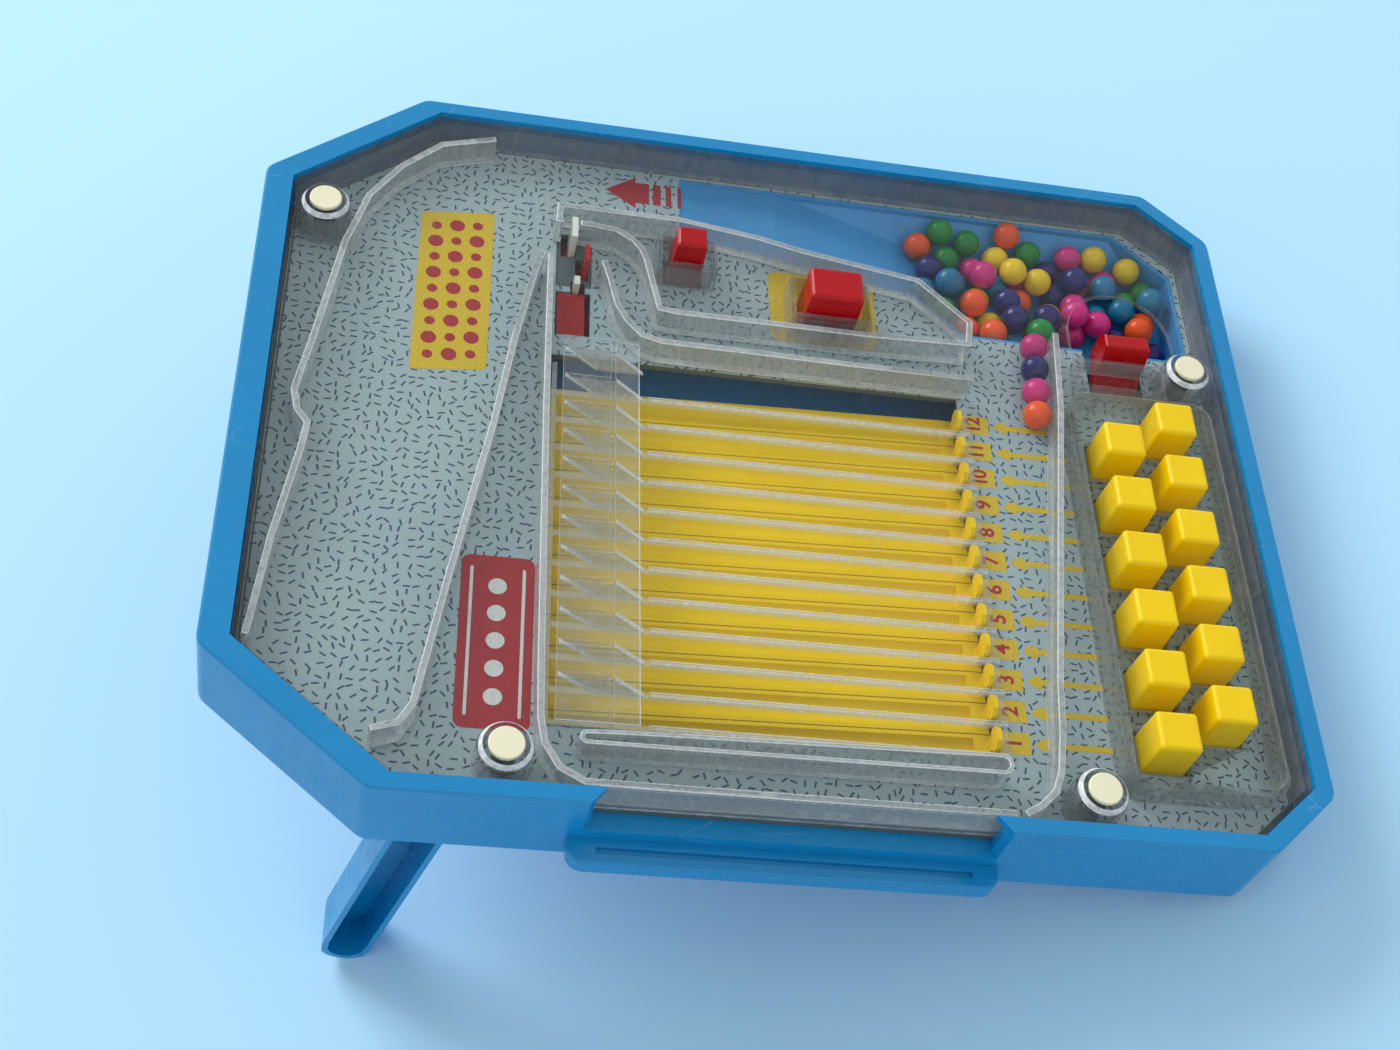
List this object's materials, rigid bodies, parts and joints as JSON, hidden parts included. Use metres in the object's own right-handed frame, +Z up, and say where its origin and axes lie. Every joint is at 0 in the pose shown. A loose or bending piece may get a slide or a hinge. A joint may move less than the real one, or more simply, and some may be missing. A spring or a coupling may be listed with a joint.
{
  "type": "ball mosaic game",
  "caption": "Hand-held tray game with a clear cover, loose coloured balls, a funnel and gate, parallel lanes with number marks, a row of sprung keys and fold-out legs.",
  "frame": {"origin": "centre of the object's footprint, on the surface it stands on", "axes": "+Y away from the player, along the tray, +X to the player's right, +Z up; the tray is tipped back on its two legs"},
  "size_m": [0.3314, 0.4002, 0.1658],
  "materials": {
    "blue": "glossy moulded plastic",
    "blue_inner": "glossy moulded plastic",
    "deck": "satin",
    "card": "printed and varnished",
    "clear": "clear polished polystyrene",
    "yellow": "glossy moulded plastic",
    "red": "glossy moulded plastic",
    "white": "glossy moulded plastic",
    "cream": "glossy moulded plastic",
    "steel": "bright drawn wire",
    "ball_orange": "glossy",
    "ball_yellow": "glossy",
    "ball_navy": "glossy",
    "ball_pink": "glossy",
    "ball_green": "glossy",
    "ball_teal": "glossy"
  },
  "bodies": {
    "case": {"balls_green": "ball_green", "balls_navy": "ball_navy", "balls_orange": "ball_orange", "balls_pink": "ball_pink", "balls_teal": "ball_teal", "balls_yellow": "ball_yellow", "case_tray": "blue", "clear_cover": "clear", "cover_screws": "steel", "deck_panel": "deck", "feeder_pin": "steel", "guide_walls": "clear", "key_rod": "steel", "lane_comb": "clear", "lane_rails": "clear", "leg_pins": "steel", "printed_card": "card", "reservoir_pan": "blue_inner", "rocker_rod": "steel", "screw_caps": "cream"},
    "feed": {"feed_rocker": "red", "feed_blade": "white"},
    "release": {"release_rocker": "red", "release_blade": "white"},
    "feeder": {"feeder_lever": "red"},
    "left_leg": {"leg_left": "blue"},
    "right_leg": {"leg_right": "blue"},
    "lane_key_01": {"key_01": "yellow"},
    "lane_key_02": {"key_02": "yellow"},
    "lane_key_03": {"key_03": "yellow"},
    "lane_key_04": {"key_04": "yellow"},
    "lane_key_05": {"key_05": "yellow"},
    "lane_key_06": {"key_06": "yellow"},
    "lane_key_07": {"key_07": "yellow"},
    "lane_key_08": {"key_08": "yellow"},
    "lane_key_09": {"key_09": "yellow"},
    "lane_key_10": {"key_10": "yellow"},
    "lane_key_11": {"key_11": "yellow"},
    "lane_key_12": {"key_12": "yellow"}
  },
  "joints": [
    {"name": "key_01_press", "type": "hinge", "parent": "case", "child": "lane_key_01", "pos_m": [-0.11105, 0.09488, 0.10055], "axis": [1, 0, 0], "range_deg": [0, 1.9], "stiffness_Nm_per_rad": 1.5, "springref_deg": -2.29},
    {"name": "key_02_press", "type": "hinge", "parent": "case", "child": "lane_key_02", "pos_m": [-0.09765, 0.09488, 0.10055], "axis": [1, 0, 0], "range_deg": [0, 1.9], "stiffness_Nm_per_rad": 1.5, "springref_deg": -2.29},
    {"name": "key_03_press", "type": "hinge", "parent": "case", "child": "lane_key_03", "pos_m": [-0.08425, 0.09488, 0.10055], "axis": [1, 0, 0], "range_deg": [0, 1.9], "stiffness_Nm_per_rad": 1.5, "springref_deg": -2.29},
    {"name": "key_04_press", "type": "hinge", "parent": "case", "child": "lane_key_04", "pos_m": [-0.07085, 0.09488, 0.10055], "axis": [1, 0, 0], "range_deg": [0, 1.9], "stiffness_Nm_per_rad": 1.5, "springref_deg": -2.29},
    {"name": "key_05_press", "type": "hinge", "parent": "case", "child": "lane_key_05", "pos_m": [-0.05745, 0.09488, 0.10055], "axis": [1, 0, 0], "range_deg": [0, 1.9], "stiffness_Nm_per_rad": 1.5, "springref_deg": -2.29},
    {"name": "key_06_press", "type": "hinge", "parent": "case", "child": "lane_key_06", "pos_m": [-0.04405, 0.09488, 0.10055], "axis": [1, 0, 0], "range_deg": [0, 1.9], "stiffness_Nm_per_rad": 1.5, "springref_deg": -2.29},
    {"name": "key_07_press", "type": "hinge", "parent": "case", "child": "lane_key_07", "pos_m": [-0.03065, 0.09488, 0.10055], "axis": [1, 0, 0], "range_deg": [0, 1.9], "stiffness_Nm_per_rad": 1.5, "springref_deg": -2.29},
    {"name": "key_08_press", "type": "hinge", "parent": "case", "child": "lane_key_08", "pos_m": [-0.01725, 0.09488, 0.10055], "axis": [1, 0, 0], "range_deg": [0, 1.9], "stiffness_Nm_per_rad": 1.5, "springref_deg": -2.29},
    {"name": "key_09_press", "type": "hinge", "parent": "case", "child": "lane_key_09", "pos_m": [-0.00385, 0.09488, 0.10055], "axis": [1, 0, 0], "range_deg": [0, 1.9], "stiffness_Nm_per_rad": 1.5, "springref_deg": -2.29},
    {"name": "key_10_press", "type": "hinge", "parent": "case", "child": "lane_key_10", "pos_m": [0.00955, 0.09488, 0.10055], "axis": [1, 0, 0], "range_deg": [0, 1.9], "stiffness_Nm_per_rad": 1.5, "springref_deg": -2.29},
    {"name": "key_11_press", "type": "hinge", "parent": "case", "child": "lane_key_11", "pos_m": [0.02295, 0.09488, 0.10055], "axis": [1, 0, 0], "range_deg": [0, 1.9], "stiffness_Nm_per_rad": 1.5, "springref_deg": -2.29},
    {"name": "key_12_press", "type": "hinge", "parent": "case", "child": "lane_key_12", "pos_m": [0.03635, 0.09488, 0.10055], "axis": [1, 0, 0], "range_deg": [0, 1.9], "stiffness_Nm_per_rad": 1.5, "springref_deg": -2.29},
    {"name": "feed_press", "type": "hinge", "parent": "case", "child": "feed", "pos_m": [0.09975, 0.00629, 0.07551], "axis": [1, 0, 0], "range_deg": [-5.8, 0], "stiffness_Nm_per_rad": 0.2, "springref_deg": 6.88},
    {"name": "release_press", "type": "hinge", "parent": "case", "child": "release", "pos_m": [0.08175, 0.00629, 0.07551], "axis": [1, 0, 0], "range_deg": [0, 5.1], "stiffness_Nm_per_rad": 0.25, "springref_deg": -6.88},
    {"name": "feeder_push", "type": "hinge", "parent": "case", "child": "feeder", "pos_m": [0.06325, -0.14574, 0.02888], "axis": [0, 0.9513, 0.3083], "range_deg": [0, 20], "stiffness_Nm_per_rad": 0.05, "springref_deg": -11.46},
    {"name": "leg_left_fold", "type": "hinge", "parent": "case", "child": "left_leg", "pos_m": [-0.14415, 0.11995, 0.11077], "axis": [1, 0, 0], "range_deg": [-100.7, 0]},
    {"name": "leg_right_fold", "type": "hinge", "parent": "case", "child": "right_leg", "pos_m": [0.15365, 0.11995, 0.11077], "axis": [1, 0, 0], "range_deg": [-100.7, 0]}
  ]
}
